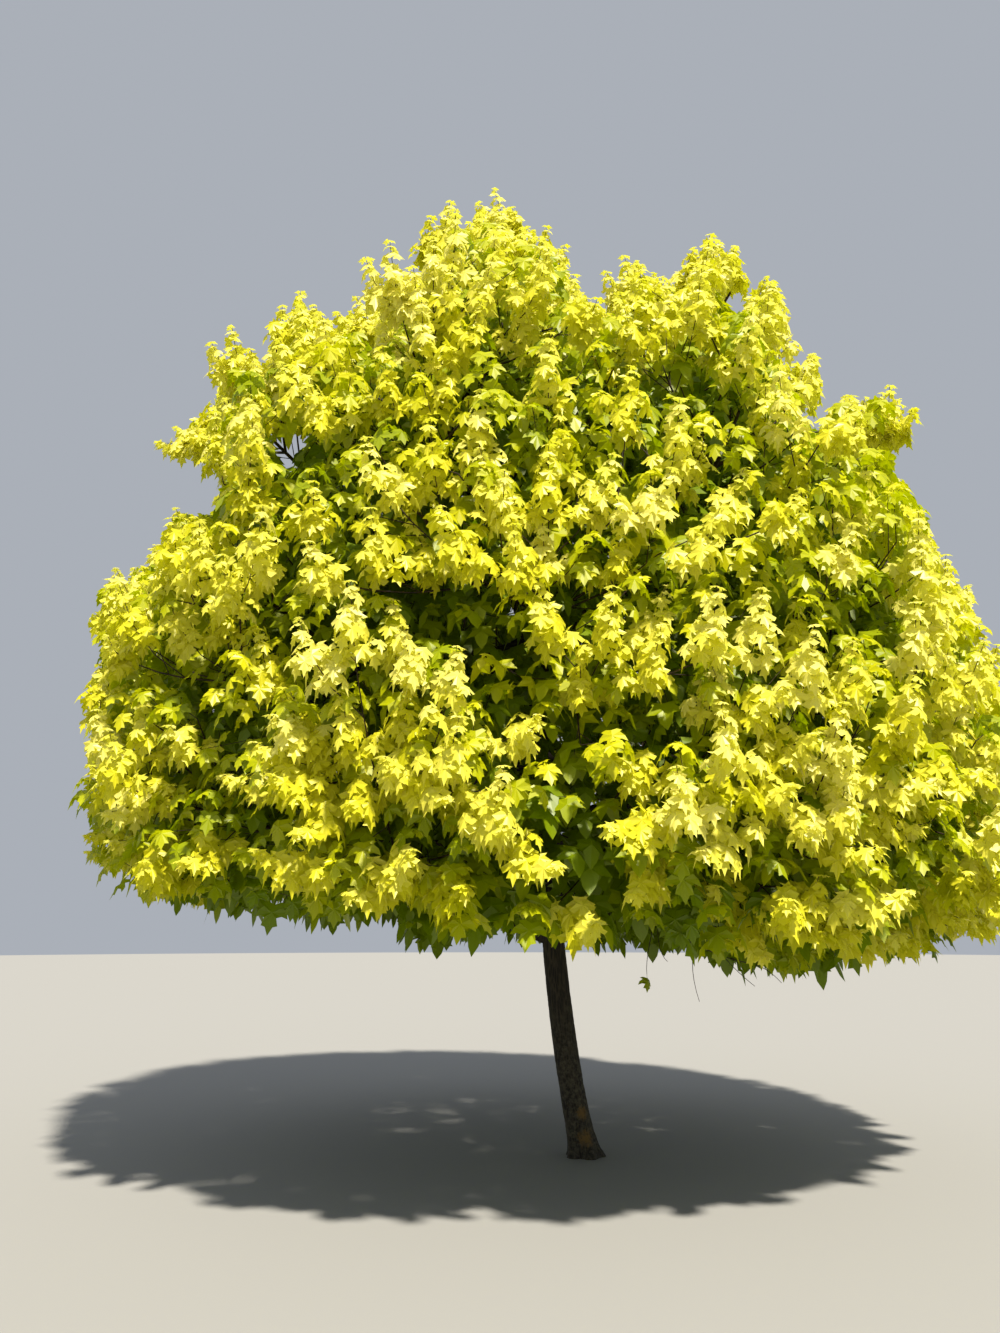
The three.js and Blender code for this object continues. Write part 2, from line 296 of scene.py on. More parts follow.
barked("trunk_wood", TRUNK_SIDES, TRUNK_STEPS, trunk_surface, trunk_bark, ["trunk"])

# The boughs leave the trunk level or rising, in rings, and each swings up into the stem of its own mass
# of foliage. Their bark is younger and smoother than the trunk's, and each swells where it joins it.
CROWN_REACH = 3.36
WIDEST_HEIGHT = 3.45
DOME_TOP = 7.12
FOOT_HEIGHT = 1.29
FOOT_POWER = 4
STRETCH_X = 1.05
STRETCH_Y = 0.98
RINGS = [
    dict(
        name="skirt", count=9, turn=10, height=2.35, inset=0.56, waver=0.05, fork=(1.5, 1.9),
        start=(1.0, 1.88), bough_radius=0.036, stem_radius=0.026, size=0.9, rise=0,
    ),
    dict(
        name="waist", count=8, turn=0, height=3.7, inset=0.56, waver=0.05, fork=(2.05, 2.9),
        start=(0.95, 2.75), bough_radius=0.033, stem_radius=0.025, size=0.98, rise=0,
    ),
    dict(
        name="shoulder", count=8, turn=-12, height=5.05, inset=0.48, waver=0.04, fork=(3.15, 3.9),
        start=(0.8, 3.95), bough_radius=0.03, stem_radius=0.024, size=0.9, rise=0.1,
    ),
    dict(
        name="crest", count=5, turn=-36, height=6.25, inset=0.45, waver=0.02, fork=(4.5, 4.85),
        start=None, bough_radius=None, stem_radius=0.023, size=0.85, rise=0.2,
        lifts=[0.15, 0.2, 0, 0.3, -0.25],
    ),
]
LEADER = dict(height=7.3, reach=0.25, turn=190, stem_radius=0.02, size=0.9, rise=0.55)
AZIMUTH_WAVER = 0.12
LEVEL_BEND = 0.45
STEM_BEND = 0.4
SEATED_RISE = 0.7
MIDDLE_SHARE = 0.65
USE = dict(azimuth=1, reach=2, height=3, start_height=4, roll=1, length=2, tone=30, leaf=40)


def chance(mass, branch, use):
    """A number from 0 to 1 that depends only on the mass, the branch and what it is for."""
    wave = sin(mass * 127.1 + branch * 311.7 + use * 74.7) * 43758.5453
    return wave - floor(wave)


def waver(mass, branch, use):
    """The same, from -1 to 1."""
    return 2 * chance(mass, branch, use) - 1


def heading(azimuth, fall):
    """The direction at an azimuth round the trunk and a fall below the level, both in radians."""
    return Vector((cos(azimuth) * cos(fall), sin(azimuth) * cos(fall), -sin(fall)))


def dome_reach(height):
    """The crown's reach from the trunk's line at a height."""
    above = height > WIDEST_HEIGHT
    power = 2 if above else FOOT_POWER
    share = (height - WIDEST_HEIGHT) / ((DOME_TOP if above else FOOT_HEIGHT) - WIDEST_HEIGHT)
    return CROWN_REACH * max(0, 1 - share ** power) ** (1 / power)


def crown_point(reach, height, azimuth):
    """A point at a reach and height, in a direction round the trunk's line."""
    out = Vector((cos(azimuth) * STRETCH_X, sin(azimuth) * STRETCH_Y, 0))
    return trunk_line(height) + out * reach


def point_on(curve, share):
    """A point on a curve of three points: its start, its bend and its end."""
    start, bend, end = curve
    return start * (1 - share) ** 2 + bend * (2 * share * (1 - share)) + end * share ** 2


def tangent_on(curve, share):
    """The direction of such a curve at a share of its length."""
    start, bend, end = curve
    return ((bend - start) * (1 - share) + (end - bend) * share).normalized()


def mass_of(ring, i, number):
    """Mass i of a ring: where its bough grows, if it has one, and where its stem does."""
    count = ring["count"]

    def varied(size, use):
        return size * (1 + ring["waver"] * waver(number, 0, use))

    place = i + AZIMUTH_WAVER * waver(number, 0, USE["azimuth"])
    azimuth = radians(ring["turn"]) + 2 * pi * place / count
    low, high = ring["fork"]
    level = ((i * 2 + 1) % count) / (count - 1)  # neighbours fork from the trunk at different heights
    root = trunk_line(low + (high - low) * level)
    reach = varied(dome_reach(ring["height"]) - ring["inset"], USE["reach"])
    lift = ring["lifts"][i] if "lifts" in ring else 0
    tip = crown_point(reach, varied(ring["height"], USE["height"]) + lift, azimuth)
    mass = dict(name=f"{ring['name']}_foliage_{i + 1}", number=number, size=ring["size"], ring=ring["name"])
    mass["stem_radius"] = ring["stem_radius"]
    mass["rise"] = max(0, lift) + ring["rise"]
    if not ring["start"]:
        direction = ((tip - root) * Vector((1, 1, SEATED_RISE))).normalized()
        mass["stem"] = stem_curve(root, tip, direction)
        return mass
    start_reach, start_height = ring["start"]
    start = crown_point(start_reach, varied(start_height, USE["start_height"]), azimuth)
    back = (start - tip).normalized()
    level_bend = root + heading(azimuth, 0) * start_reach * LEVEL_BEND
    stem_bend = start + back * (start - root).length * STEM_BEND
    mass["bough"] = (root, (level_bend + stem_bend) / 2, start)
    mass["bough_name"] = f"{ring['name']}_bough_{i + 1}"
    mass["bough_radius"] = ring["bough_radius"]
    mass["stem"] = stem_curve(start, tip, tangent_on(mass["bough"], 1))
    return mass


def stem_curve(start, tip, direction):
    """A stem leaves its start along a direction and turns up towards its tip."""
    return (start, start + direction * (tip - start).length / 2, tip)


def leader_mass(number):
    """The mass on the trunk's own top."""
    tip = crown_point(LEADER["reach"], LEADER["height"], radians(LEADER["turn"]))
    stem = stem_curve(trunk_line(TRUNK_HEIGHT), tip, UP)
    return dict(
        name="leader_foliage", number=number, size=LEADER["size"], ring="crest", stem=stem,
        stem_radius=LEADER["stem_radius"], rise=LEADER["rise"],
    )


masses = []
for ring in RINGS:
    for i in range(ring["count"]):
        masses.append(mass_of(ring, i, len(masses) + 1))
masses.append(leader_mass(len(masses) + 1))
for mass in masses:
    mass["middle"] = point_on(mass["stem"], MIDDLE_SHARE)

BOUGH_SIDES = 20
BOUGH_STEPS = 64
COLLAR_SWELL = 0.45
COLLAR_LENGTH = 0.07
WANDER = 0.012
WANDER_SCALE = 2.6
BOUGH_RIDGE = dict(width=0.012, length=0.08, depth=0.0012)

bough_bark = bark_material("bough_bark", furrow=rgb(30, 26, 18), ridge=rgb(56, 50, 38), pale=rgb(76, 72, 58))


def wander(spot, share):
    """How far a limb strays from its curve, nothing at its two ends."""
    return noise.noise_vector(spot * WANDER_SCALE) * WANDER * sin(pi * share)


def bough_surface(mass):
    """A function that places a bough's bark by the angle round it and the share of its length."""
    curve = mass["bough"]
    length = (curve[2] - curve[0]).length
    across = (curve[1] - curve[0]).cross(curve[2] - curve[1]).normalized()

    def place(angle, share):
        middle = point_on(curve, share)
        other = tangent_on(curve, share).cross(across)
        out = across * cos(angle) + other * sin(angle)
        radius = mass["bough_radius"] + (mass["stem_radius"] - mass["bough_radius"]) * share
        trunk_edge = share * length - BOLE_RADIUS
        radius *= 1 + COLLAR_SWELL * exp(-max(trunk_edge, 0) / COLLAR_LENGTH)
        around = Vector((cos(angle), sin(angle), 0)) * radius
        ridge = ridges(around, share * length + mass["number"], BOUGH_RIDGE["width"], BOUGH_RIDGE["length"])
        radius -= BOUGH_RIDGE["depth"] * (1 - ridge)
        return middle + wander(middle, share) + out * radius, ridge

    return place


for mass in masses:
    if "bough" in mass:
        node_name = mass["bough_name"]
        barked(
            node_name + "_wood", BOUGH_SIDES, BOUGH_STEPS, bough_surface(mass), bough_bark,
            [node_name],
        )

# Twigs stand in opposite pairs, each pair turned a quarter round its stem from the last. A mass's stem
# bears twigs, they and the bough bear branchlets, and all of them bear leafy shoots: upright tufts with
# spurs, which stand apart at the crown's skin, and plain shoots between and behind them.
PAIRS = [(0.2, 0.5), (0.48, 0.52), (0.76, 0.4)]
TWIG = dict(
    name="twig", spread=60, lift=0.42, radius=0.011, tip_radius=0.005, roll_waver=15, length_waver=0.12
)
TWIG_SIZES = (1, 0.8, 0.6)
BRANCHLET = dict(
    name="branchlet", spread=52, lift=0.35, hang=0.1, radius=0.0075, tip_radius=0.004, roll_waver=22,
    length=0.75, length_waver=0.2, sizes=(1.3, 1, 0.7), step=0.2, depths=(0.14, 2.6), apart=0.26,
    apart_deeper=0.12,
)
TUFT = dict(
    name="tuft", spread=45, lift=0.75, hang=0.35, radius=0.0045, tip_radius=0.002, roll_waver=24,
    length=0.5, length_waver=0.15, sizes=(1.5, 1.2, 1, 0.8, 0.6), step=0.06, depths=(-0.08, 0.35),
    apart=0.275, apart_deeper=0.35,
)
SHOOT = dict(
    name="shoot", spread=52, lift=0.45, hang=0.05, radius=0.0036, tip_radius=0.002, roll_waver=24,
    length=0.36, length_waver=0.22, sizes=(1.25, 1, 0.75, 0.5), step=0.08, depths=(0.14, 2.6), apart=0.18,
    apart_deeper=0.08,
)
SPUR = dict(name="spur", spread=58, lift=0.5, radius=0.0025, tip_radius=0.0015, roll_waver=20)
SPUR_PAIRS = [(0.4, 0.14), (0.25, 0.11)]
LOWEST_SPUR = 0.08
LEAFY = ("tuft", "shoot")
BARE_SHARE = 0.08
BOUGH_BARE_SHARE = 0.15
FIRST_PAIR = 0.4
FIRST_LIMB = 100
TUFT_BODY = 0.6
CURVE_STEPS = 8
HANGING_HEIGHT = 2.7
SHARED_SPACE = 0.3
TWIG_INSET = 0.1
STRETCH_BACK = 1.05
BOX_MARGIN = 0.1
CELL = 0.36

# The crown's top edge from the front: heights above points across the plane through the trunk, as an eye
# at the front sees them. Shoots that stand before or behind the plane are cast onto it.
EYE = Vector((-0.607, -8.3, 1.6))
TOP_EDGE = [
    (-3.98, 0), (-3.9, 4.32), (-3.37, 4.63), (-3.3, 5.67), (-3.12, 5.5), (-2.9, 6.6), (-2.6, 6.26),
    (-2.33, 6.94), (-2.02, 6.59), (-1.84, 6.89), (-1.72, 6.6), (-1.57, 7.43), (-1.4, 6.94), (-1.05, 7.83),
    (-0.85, 7.6), (-0.65, 7.95), (-0.5, 7.53), (-0.2, 7.58), (0.1, 6.98), (0.38, 6.78), (0.48, 7.28),
    (0.75, 7.14), (0.98, 7.02), (1.23, 7.5), (1.62, 7.34), (1.9, 6.81), (2.1, 6.24), (2.2, 5.98),
    (2.45, 5.95), (2.68, 6.05), (2.9, 5.65), (2.96, 4.65), (3.1, 4.4), (3.5, 3.8), (3.75, 0),
]
TOP_EDGE_X, TOP_EDGE_Z = zip(*TOP_EDGE)
TOP_EDGE_PARTS = 14
TOP_EDGE_SPOTS = np.concatenate(
    [np.linspace(one, other, TOP_EDGE_PARTS) for one, other in zip(TOP_EDGE, TOP_EDGE[1:])]
)
TOP_EDGE_PEAKS = [
    spot for before, spot, after in zip(TOP_EDGE, TOP_EDGE[1:], TOP_EDGE[2:])
    if spot[1] > max(before[1], after[1])
]
PEAK_LEAF = 0.03
PEAK_REACH = 0.75
PEAK_TUFT = 0.42
PEAK_SIDES = [(-0.13, 0.12), (0.14, 0.17)]
NECK_SHIFT = 0.4
TUFT_OUTLINE = [(0, -0.02), (-0.06, 0.12), (0.06, 0.12), (-0.14, 0.32), (0.14, 0.32)]

# Notches and holes in the crown, where the eye sees past or between tufts: (across, height, reach). Then
# the crown's lower edge, seen in the same way, and how far leaves hang below the tip that bears them.
NOTCHES = [
    (-3.08, 5.1, 0.22), (-2.38, 5.44, 0.16), (1.45, 6.89, 0.17), (1.88, 6.38, 0.15), (2.06, 5.81, 0.18),
    (2.95, 5.2, 0.26),
]
UNDERSIDE = [
    (-3.6, 1.95), (-2.95, 1.76), (-2.0, 1.64), (-1.4, 1.66), (-1.15, 1.45), (-0.6, 1.52), (0, 1.46),
    (0.4, 1.47), (1.05, 1.38), (1.4, 1.2), (1.9, 1.32), (2.4, 1.2), (2.75, 1.22), (3.1, 1.45),
]
UNDERSIDE_X, UNDERSIDE_Z = zip(*UNDERSIDE)
LEAF_HANG = 0.11


def own_space(mass, point, margin):
    """Whether a point is nearer to its mass's middle than to any other, weighed by size."""
    if point.z < FOOT_HEIGHT:
        return False
    mine = (point - mass["middle"]).length_squared - mass["size"] ** 2
    for other in masses:
        if other is mass:
            continue
        theirs = (point - other["middle"]).length_squared - other["size"] ** 2
        if (theirs - mine) / (2 * (mass["middle"] - other["middle"]).length) <= margin:
            return False
    return True


def depth_of(point, rise=0):
    """How deep a point lies inside the crown's dome, lifted by a rise, in metres."""
    line = trunk_line(point.z)
    height = max(point.z - rise, min(point.z, WIDEST_HEIGHT))
    away = point.y - line.y
    reach = hypot((point.x - line.x) / STRETCH_X, away / (STRETCH_BACK if away > 0 else STRETCH_Y))
    level = dome_reach(height) - reach
    dome = WIDEST_HEIGHT + (DOME_TOP - WIDEST_HEIGHT) * sqrt(max(0, 1 - (reach / CROWN_REACH) ** 2))
    return min(level, dome - height)


def cast(point):
    """A point as the eye sees it on the plane through the trunk, and how far off it is."""
    away = EYE.y / (EYE.y - point.y)
    return EYE.x + (point.x - EYE.x) * away, EYE.z + (point.z - EYE.z) * away, 1 / away


def under_top_edge(point):
    """Whether a tuft of leaves with its tip at a point stays below the crown's top edge."""
    x, z, _ = cast(point)
    spots = [(x + step, z - drop) for step, drop in TUFT_OUTLINE]
    in_notch = any(hypot(x - u, z - v) < reach for x, z in spots for u, v, reach in NOTCHES)
    return not in_notch and all(z < np.interp(x, TOP_EDGE_X, TOP_EDGE_Z) for x, z in spots)


def skin_depth(point, rise):
    """How deep a point lies under the crown's skin, which the top edge cuts where it is below the dome."""
    x, z, _ = cast(point)
    from_edge = np.hypot(TOP_EDGE_SPOTS[:, 0] - x, TOP_EDGE_SPOTS[:, 1] - z).min()
    return min(depth_of(point, rise), from_edge)


def above_underside(point):
    """Whether leaves that hang from a point stay above the crown's lower edge."""
    x, z, _ = cast(point - UP * LEAF_HANG)
    return z > np.interp(x, UNDERSIDE_X, UNDERSIDE_Z)


def curve_length(curve):
    """The length of such a curve, added up in steps."""
    spots = [point_on(curve, step / CURVE_STEPS) for step in range(CURVE_STEPS + 1)]
    return sum((b - a).length for a, b in zip(spots, spots[1:]))


def side_limb(mass, parent, at, branch, quarter, length, kind):
    """A limb that leaves its parent at a spread angle and bends up."""
    start = point_on(parent, at)
    along = tangent_on(parent, at)
    side = along.cross(UP).normalized()
    lift = side.cross(along)
    roll = radians(quarter * 90 + kind["roll_waver"] * waver(mass["number"], branch, USE["roll"]))
    spread = radians(kind["spread"])
    first = along * cos(spread) + (side * cos(roll) + lift * sin(roll)) * sin(spread)
    hangs = "hang" in kind and first.z < 0 and start.z < HANGING_HEIGHT
    last = first.lerp(UP, kind["hang"] if hangs else kind["lift"]).normalized()
    bend = start + first * length / 2
    return (start, bend, bend + last * length / 2)


def end_limb(parent, length, kind):
    """A limb that carries on from its parent's tip and bends up."""
    start, along = parent[2], tangent_on(parent, 1)
    bend = start + along * length / 2
    return (start, bend, bend + along.lerp(UP, kind["lift"]).normalized() * length / 2)


def in_box(point, margin):
    """Whether a point lies within the solids' box by a margin."""
    low, high = cad_box
    return all(low[k] + margin < point[k] < high[k] - margin for k in range(3))


def limb(mass, kind, curve, at=0, number=0, bare=BARE_SHARE):
    """A limb that leaves its parent at a share of the parent's length, with the limbs it will bear."""
    return dict(mass=mass, kind=kind, curve=curve, at=at, number=number, bare=bare, kids=[])


def add_twigs(stem):
    """Grow a stem's twigs by the rule of the solids, each the largest that fits."""
    mass = stem["mass"]
    stem_length = curve_length(stem["curve"])
    for pair, (at, share) in enumerate(PAIRS):
        for half in (0, 1):
            branch = 1 + pair * 2 + half
            varied = share * (1 + TWIG["length_waver"] * waver(mass["number"], branch, USE["length"]))
            for size in TWIG_SIZES:
                length = stem_length * varied * size
                curve = side_limb(mass, stem["curve"], at, branch, pair + half * 2, length, TWIG)
                if own_space(mass, curve[2], 0) and depth_of(curve[2], mass["rise"]) > TWIG_INSET:
                    stem["kids"].append(limb(mass, TWIG, curve, at, branch))
                    break
    return stem["kids"][:]


ends = dict(branchlet={}, tuft={}, shoot={})


def cell_of(point):
    """The cube of space that holds a point, by which near limbs are found."""
    return tuple(floor(value / CELL) for value in point)


def take(place, name):
    """Keep a place as taken by a limb of a kind."""
    ends[name].setdefault(cell_of(place), []).append(place)


def crowded(point, depth, kind):
    """Whether a limb of a kind already ends too near a point. Deeper in the crown they stand wider."""
    reach = kind["apart"] + kind["apart_deeper"] * max(0, depth)
    x, y, z = cell_of(point)
    steps = (-1, 0, 1)
    return any(
        (other - point).length < reach
        for dx in steps for dy in steps for dz in steps
        for other in ends[kind["name"]].get((x + dx, y + dy, z + dz), ())
    )


def fits(mass, curve, kind):
    """Whether a limb ends in free space: inside the crown's reach, its mass's own, not crowded."""
    tip = curve[2]
    depth = skin_depth(tip, mass["rise"])
    least, most = kind["depths"]
    return (
        least < depth < most
        and above_underside(tip)
        and in_box(tip, BOX_MARGIN)
        and under_top_edge(tip)
        and not crowded(tip, depth, kind)
        and own_space(mass, tip, -SHARED_SPACE)
    )


def sprout(parent, kind):
    """Grow limbs of a kind on a limb: one at its end, then pairs from there back to its bare foot."""
    mass, base = parent["mass"], parent["curve"]
    length = curve_length(base)
    places = [(1, 0)]
    for pair in range(int((1 - parent["bare"]) * length / kind["step"])):
        at = 1 - (pair + FIRST_PAIR) * kind["step"] / length
        places += [(at, pair), (at, pair + 2)]
    grown = []
    for at, quarter in places:
        mass["limbs"] += 1
        number = mass["limbs"]
        varied = kind["length"] * (1 + kind["length_waver"] * waver(mass["number"], number, USE["length"]))
        for size in kind["sizes"]:
            if at == 1:
                curve = end_limb(base, varied * size, kind)
            else:
                curve = side_limb(mass, base, at, number, quarter, varied * size, kind)
            if fits(mass, curve, kind):
                take(curve[2], kind["name"])
                grown.append(limb(mass, kind, curve, at, number))
                break
    parent["kids"] += grown
    return grown


def off_peak(tuft, peak):
    """How far a tuft's tip is seen from a peak of the top edge. Sideways counts twice."""
    x, z, _ = cast(tuft["curve"][2])
    return hypot(2 * (x - peak[0]), z - peak[1])


def reach_peak(peak):
    """Let the tuft nearest a peak of the top edge grow up to it on a neck, with one more at each side."""
    tuft = min(tufts, key=lambda one: off_peak(one, peak))
    mass = tuft["mass"]
    start, bend, tip = (spot.copy() for spot in tuft["curve"])
    x, z, away = cast(tip)
    shift = Vector((peak[0] - x, 0, peak[1] - PEAK_LEAF - z)) * away
    tip += shift
    bend += shift * NECK_SHIFT
    if off_peak(tuft, peak) > PEAK_REACH or not in_box(tip, BOX_MARGIN / 2):
        return
    share = max(0, 1 - PEAK_TUFT / curve_length((start, bend, tip)))
    mass["limbs"] += 1
    necks.append(limb(mass, BRANCHLET, cut((start, bend, tip), share), 0, mass["limbs"]))
    neck_end = necks[-1]["curve"][2]
    tuft["curve"] = (neck_end, bend.lerp(tip, share), tip)
    for across, drop in PEAK_SIDES:
        mass["limbs"] += 1
        side_tip = tip + Vector((across, 0, -drop))
        side_bend = neck_end.lerp(side_tip, 0.5) + Vector((across / 2, 0, 0))
        tufts.append(limb(mass, TUFT, (neck_end, side_bend, side_tip), 0, mass["limbs"]))


def share_below(curve, down):
    """The share of a shoot that lies a distance below its tip, but not at its very foot."""
    return max(LOWEST_SPUR, 1 - down / curve_length(curve))


def add_spurs(tuft):
    """Grow a tuft's spurs, in pairs some way below its tip."""
    for pair, (down, length) in enumerate(SPUR_PAIRS):
        at = share_below(tuft["curve"], down)
        for half in (0, 1):
            tuft["mass"]["limbs"] += 1
            number = tuft["mass"]["limbs"]
            curve = side_limb(tuft["mass"], tuft["curve"], at, number, pair + half * 2, length, SPUR)
            tuft["kids"].append(limb(tuft["mass"], SPUR, curve, at, number))
    return tuft["kids"]


def live_end(bearer):
    """The share of a limb up to the last limb in leaf that it bears, nothing on a bare one."""
    places = [kid["at"] for kid in bearer["kids"] if kid["kind"]["name"] in LEAFY or live_end(kid)]
    return max(places, default=0)


def cut(curve, share):
    """A curve's first share, as a curve."""
    start, bend, _ = curve
    return (start, start.lerp(bend, share), point_on(curve, share))


STEM = dict(name="stem")
BOUGH = dict(name="bough")
stems, boughs, twigs = [], [], []
for mass in masses:
    mass["limbs"] = FIRST_LIMB
    stems.append(limb(mass, STEM, mass["stem"]))
    twigs += add_twigs(stems[-1])
    if "bough" in mass:
        boughs.append(limb(mass, BOUGH, mass["bough"], bare=BOUGH_BARE_SHARE))
bearers = stems + twigs + boughs
branchlets = [grown for bearer in bearers for grown in sprout(bearer, BRANCHLET)]
bearers += branchlets
tufts = [grown for bearer in bearers for grown in sprout(bearer, TUFT)]
necks = []
for peak in TOP_EDGE_PEAKS:
    reach_peak(peak)
bearers += necks
spurs = [spur for tuft in tufts for spur in add_spurs(tuft)]
for tuft in tufts:
    take(point_on(tuft["curve"], TUFT_BODY), "shoot")
shoots = [grown for bearer in bearers for grown in sprout(bearer, SHOOT)]
for bearer in stems + twigs + branchlets:
    bearer["end"] = live_end(bearer)


def arrays_of(bm):
    """A small bmesh as arrays of its points and triangles."""
    bmesh.ops.triangulate(bm, faces=bm.faces[:])
    bm.verts.index_update()
    points = np.array([vert.co[:] for vert in bm.verts])
    triangles = np.array([[vert.index for vert in face.verts] for face in bm.faces])
    bm.free()
    return points, triangles


def unit(vectors):
    """Vectors made one long."""
    return vectors / np.maximum(np.linalg.norm(vectors, axis=-1, keepdims=True), 1e-9)


STRAIGHT_SIDE = (0.3, 0.9, 0.1)


def tubes(curves, radii, template):
    """Many limbs at once: each curve's tube, tapering between its two radii, as points and triangles."""
    points, triangles = template
    curves = np.array([[tuple(spot) for spot in curve] for curve in curves])
    radii = np.array(radii)
    share = points[:, 2][None, :, None]
    start, bend, end = (curves[:, k][:, None, :] for k in range(3))
    middle = start * (1 - share) ** 2 + bend * 2 * share * (1 - share) + end * share ** 2
    tangent = unit((bend - start) * (1 - share) + (end - bend) * share)
    across = np.cross(curves[:, 1] - curves[:, 0], curves[:, 2] - curves[:, 1])
    flat = np.linalg.norm(across, axis=1) < 1e-7
    across[flat] = np.cross(tangent[flat, 0], STRAIGHT_SIDE)
    across = unit(across)[:, None, :]
    other = np.cross(tangent, across)
    radius = radii[:, :1, None] + (radii[:, 1:] - radii[:, :1])[:, :, None] * share
    put = middle + (across * points[:, 0][None, :, None] + other * points[:, 1][None, :, None]) * radius
    return put, triangles


def joined(name, groups, materials, nodes, smooth):
    """One piece from groups of like shapes: (points of each, triangles, material of each)."""
    all_points, all_triangles, all_slots, offset = [], [], [], 0
    for points, triangles, slots in groups:
        count, size = points.shape[:2]
        starts = offset + np.arange(count)[:, None, None] * size
        all_points.append(points.reshape(-1, 3))
        all_triangles.append((triangles[None] + starts).reshape(-1, 3))
        all_slots.append(np.repeat(slots, len(triangles)))
        offset += count * size
    points = np.concatenate(all_points)
    triangles = np.concatenate(all_triangles)
    mesh = bpy.data.meshes.new(name)
    mesh.vertices.add(len(points))
    mesh.vertices.foreach_set("co", points.ravel())
    mesh.loops.add(triangles.size)
    mesh.loops.foreach_set("vertex_index", triangles.ravel())
    mesh.polygons.add(len(triangles))
    mesh.polygons.foreach_set("loop_start", np.arange(len(triangles)) * 3)
    mesh.polygons.foreach_set("material_index", np.concatenate(all_slots))
    mesh.update(calc_edges=True)
    if smooth:
        mesh.shade_smooth()
    else:
        mesh.shade_flat()
    return finished(mesh, name, materials, nodes)


BLOTCH_NOISE = dict(Scale=14, Detail=3)
BLOTCH_STOPS = [(0.35, rgb(34, 26, 17)), (0.65, rgb(66, 50, 34))]
TWIG_ROUGHNESS = 0.75


def twig_material():
    """Young bark: nearly black brown, in blotches of a warmer brown."""
    material, tree, output = blank_material("twig_bark")
    place = tree.nodes.new("ShaderNodeTexCoord").outputs["Object"]
    blotch = node(tree, "ShaderNodeTexNoise", Vector=place, **BLOTCH_NOISE)
    colour = ramp(tree, blotch.outputs["Fac"], BLOTCH_STOPS)
    shader = node(tree, "ShaderNodeBsdfPrincipled", Base_Color=colour, Roughness=TWIG_ROUGHNESS)
    tree.links.new(shader.outputs["BSDF"], output.inputs["Surface"])
    return material


twig_bark = twig_material()
STEM_TUBE = arrays_of(rod(9, 10))
TWIG_TUBE = arrays_of(rod(6, 6))
BRANCHLET_TUBE = arrays_of(rod(5, 4))
SHOOT_TUBE = arrays_of(rod(3, 3))
PLAIN_TUBE = arrays_of(rod(3, 2))
SPUR_TUBE = arrays_of(rod(3, 1))
STEM_END_RADIUS = 0.009


def limb_group(limbs, radius, tip_radius, template):
    """Limbs in leaf as a group for one piece, each ending at the last that it bears."""
    live = [one for one in limbs if one.get("end", 1)]
    points, triangles = tubes(
        [cut(one["curve"], one.get("end", 1)) for one in live], [(radius, tip_radius)] * len(live), template
    )
    return points, triangles, np.zeros(len(live), int)


def in_ring(limbs, ring_name):
    """The limbs of one ring's masses."""
    return [one for one in limbs if one["mass"]["ring"] == ring_name]


RING_NAMES = [ring["name"] for ring in RINGS]
for ring_name in RING_NAMES:
    groups = [
        limb_group([stem], stem["mass"]["stem_radius"], STEM_END_RADIUS, STEM_TUBE)
        for stem in in_ring(stems, ring_name)
    ]
    for limbs, kind, template in (
        (twigs, TWIG, TWIG_TUBE), (branchlets + necks, BRANCHLET, BRANCHLET_TUBE), (tufts, TUFT, SHOOT_TUBE),
        (shoots, SHOOT, PLAIN_TUBE), (spurs, SPUR, SPUR_TUBE),
    ):
        groups.append(limb_group(in_ring(limbs, ring_name), kind["radius"], kind["tip_radius"], template))
    joined(f"{ring_name}_twigs", groups, [twig_bark], [], True)

# A dead limb as thick as a pencil reaches out bare under the crown, right of the trunk, and thin dead twigs
# hang from it. One leaf hangs at the end of the first of them.
DEAD_START = Vector((0.02, -0.9, 1.52))
DEAD_LIMB = (Vector((0.5, -1, 1.45)), Vector((1.08, -1, 1.345)))
DEAD_TWIGS = [
    (0.35, (0.34, -1, 1.38), (0.35, -1, 1.29)), (0.37, (0.42, -1, 1.42), (0.49, -0.99, 1.37)),
    (0.62, (0.62, -1.02, 1.32), (0.685, -1, 1.12)), (0.8, (0.94, -1.01, 1.3), (1.05, -1, 1.215)),
    (1, (1.16, -1, 1.31), (1.224, -1, 1.236)),
]
DEAD_LIMB_RADII = (0.005, 0.003)
DEAD_TWIG_RADII = (0.0028, 0.0016)
SEEK_STEPS = 12


def nearest_on_limbs(point):
    """The nearest point on the middle lines of the skirt's limbs."""
    low = in_ring(stems + twigs + branchlets + boughs, "skirt")
    shares = [step / SEEK_STEPS for step in range(SEEK_STEPS + 1)]
    spots = (point_on(one["curve"], share * one.get("end", 1)) for one in low for share in shares)
    return min(spots, key=lambda spot: (spot - point).length)


dead_limb = (nearest_on_limbs(DEAD_START), *DEAD_LIMB)
dead_twigs = [(point_on(dead_limb, at), Vector(bend), Vector(end)) for at, bend, end in DEAD_TWIGS]
dead_radii = [DEAD_LIMB_RADII] + [DEAD_TWIG_RADII] * len(dead_twigs)
dead_points, dead_triangles = tubes([dead_limb] + dead_twigs, dead_radii, TWIG_TUBE)
dead_slots = np.zeros(len(dead_points), int)
joined("dead_twigs", [(dead_points, dead_triangles, dead_slots)], [twig_bark], [], True)

